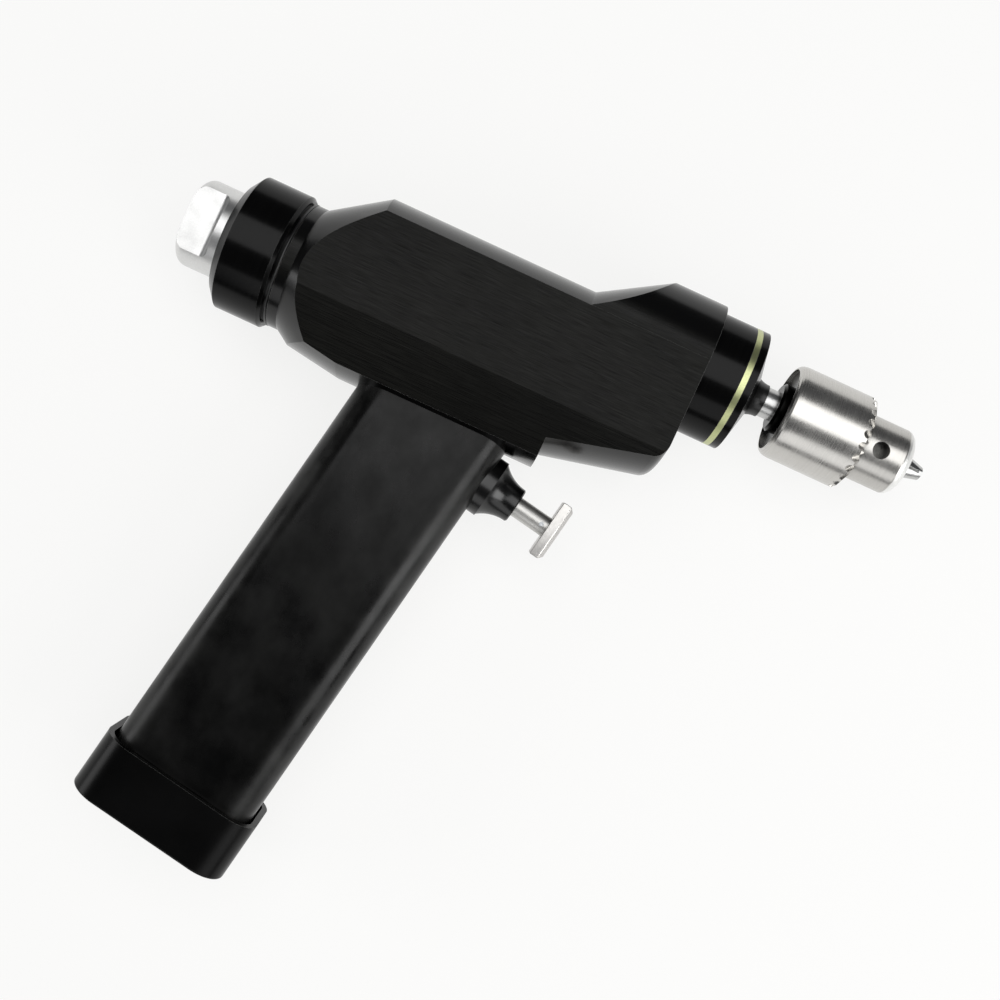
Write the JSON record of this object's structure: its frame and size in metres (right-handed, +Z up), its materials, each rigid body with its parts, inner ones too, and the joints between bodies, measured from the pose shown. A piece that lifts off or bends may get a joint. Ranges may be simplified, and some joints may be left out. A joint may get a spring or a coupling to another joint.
{
  "type": "surgical power drill",
  "caption": "Cordless pistol-grip surgical drill with keyed three-jaw chuck, T-bar trigger, offset gear stage and draw-out battery in the grip.",
  "frame": {"origin": "spindle axis at the front face of the barrel casing's nose block", "axes": "+X along the spindle to the chuck, +Y to the top of the barrel with the grip hanging to -Y, +Z up; the drill lies on its left side"},
  "size_m": [0.2333, 0.2196, 0.0426],
  "materials": {
    "black_anodised": "satin, black anodised",
    "band_yellow": "satin yellow-green",
    "black_rubber": "satin",
    "grip_black": "satin, handled",
    "guide_black": "gloss",
    "steel_turned": "turned",
    "chuck_steel": "polished, turned",
    "knob_silver": "satin silver",
    "motor_steel": "drawn can",
    "moulded_black": "matt moulding",
    "magnet_nickel": "nickel plated",
    "cell_wrap": "shrink wrap",
    "contact_brass": "bright",
    "board_green": "solder mask"
  },
  "bodies": {
    "body": {"housing": "black_anodised", "nose_sleeve": "black_anodised", "ring_band": "band_yellow", "nose_cap": "black_anodised", "spindle_seal": "black_rubber", "rear_cap": "black_anodised", "cap_oring": "black_rubber", "motor_can": "motor_steel", "motor_end_bell": "moulded_black", "motor_bearing_front": "steel_turned", "motor_bearing_rear": "steel_turned", "motor_magnets": "magnet_nickel", "motor_spacer": "motor_steel", "rear_spindle_bearing": "steel_turned", "front_spindle_bearing": "steel_turned", "bearing_circlip": "steel_turned", "grip": "grip_black", "grip_screws": "steel_turned", "trigger_guide": "guide_black", "guide_nut": "steel_turned", "trigger_switch": "moulded_black", "control_board": "board_green", "contact_block": "moulded_black"},
    "spindle": {"spindle": "steel_turned", "driven_gear": "steel_turned", "chuck_body": "chuck_steel"},
    "motor_rotor": {"motor_rotor": "steel_turned", "drive_pinion": "steel_turned"},
    "chuck_sleeve": {"chuck_sleeve": "chuck_steel", "split_nut": "steel_turned"},
    "jaw_a": {"jaw_1": "steel_turned"},
    "jaw_b": {"jaw_2": "steel_turned"},
    "jaw_c": {"jaw_3": "steel_turned"},
    "trigger": {"trigger_rod": "knob_silver", "trigger_pin": "steel_turned", "trigger_bar": "knob_silver", "trigger_clip": "steel_turned", "trigger_magnet": "magnet_nickel", "trigger_spring": "steel_turned"},
    "rear_knob": {"rear_knob": "knob_silver", "knob_shaft": "steel_turned", "knob_latch": "steel_turned", "knob_screw": "steel_turned"},
    "battery": {"base_cap": "grip_black", "base_gasket": "black_rubber", "battery_holder": "moulded_black", "battery_cells": "cell_wrap", "battery_terminals": "contact_brass"}
  },
  "joints": [
    {"name": "spindle_spin", "type": "hinge", "parent": "body", "child": "spindle", "pos_m": [0, 0, 0], "axis": [1, 0, 0], "continuous": true},
    {"name": "motor_spin", "type": "hinge", "parent": "body", "child": "motor_rotor", "pos_m": [0, -0.0225, 0], "axis": [1, 0, 0], "continuous": true},
    {"name": "sleeve_turn", "type": "hinge", "parent": "spindle", "child": "chuck_sleeve", "pos_m": [0.04, 0, 0], "axis": [1, 0, 0], "range_deg": [-720, 2160]},
    {"name": "jaw_a_slide", "type": "slide", "parent": "spindle", "child": "jaw_a", "axis": [-0.9563, 0.2532, 0.1462], "range_m": [-0.002, 0.006]},
    {"name": "jaw_b_slide", "type": "slide", "parent": "spindle", "child": "jaw_b", "axis": [-0.9563, -0.2532, 0.1462], "range_m": [-0.002, 0.006]},
    {"name": "jaw_c_slide", "type": "slide", "parent": "spindle", "child": "jaw_c", "axis": [-0.9563, 0, -0.2924], "range_m": [-0.002, 0.006]},
    {"name": "trigger_press", "type": "slide", "parent": "body", "child": "trigger", "axis": [-0.9848, 0.1736, 0], "range_m": [0, 0.008], "stiffness_N_per_m": 400, "springref_m": -0.004, "deforming": ["trigger_spring"]},
    {"name": "knob_turn", "type": "hinge", "parent": "body", "child": "rear_knob", "pos_m": [-0.15, -0.0225, 0], "axis": [1, 0, 0], "range_deg": [0, 90]},
    {"name": "battery_draw", "type": "slide", "parent": "body", "child": "battery", "axis": [-0.1736, -0.9848, 0], "range_m": [0, 0.118]}
  ],
  "couplings": [
    {"joint": "motor_spin", "follows": "spindle_spin", "ratio": -2},
    {"joint": "jaw_a_slide", "follows": "sleeve_turn", "m_per_rad": 0.00015915},
    {"joint": "jaw_b_slide", "follows": "sleeve_turn", "m_per_rad": 0.00015915},
    {"joint": "jaw_c_slide", "follows": "sleeve_turn", "m_per_rad": 0.00015915}
  ]
}
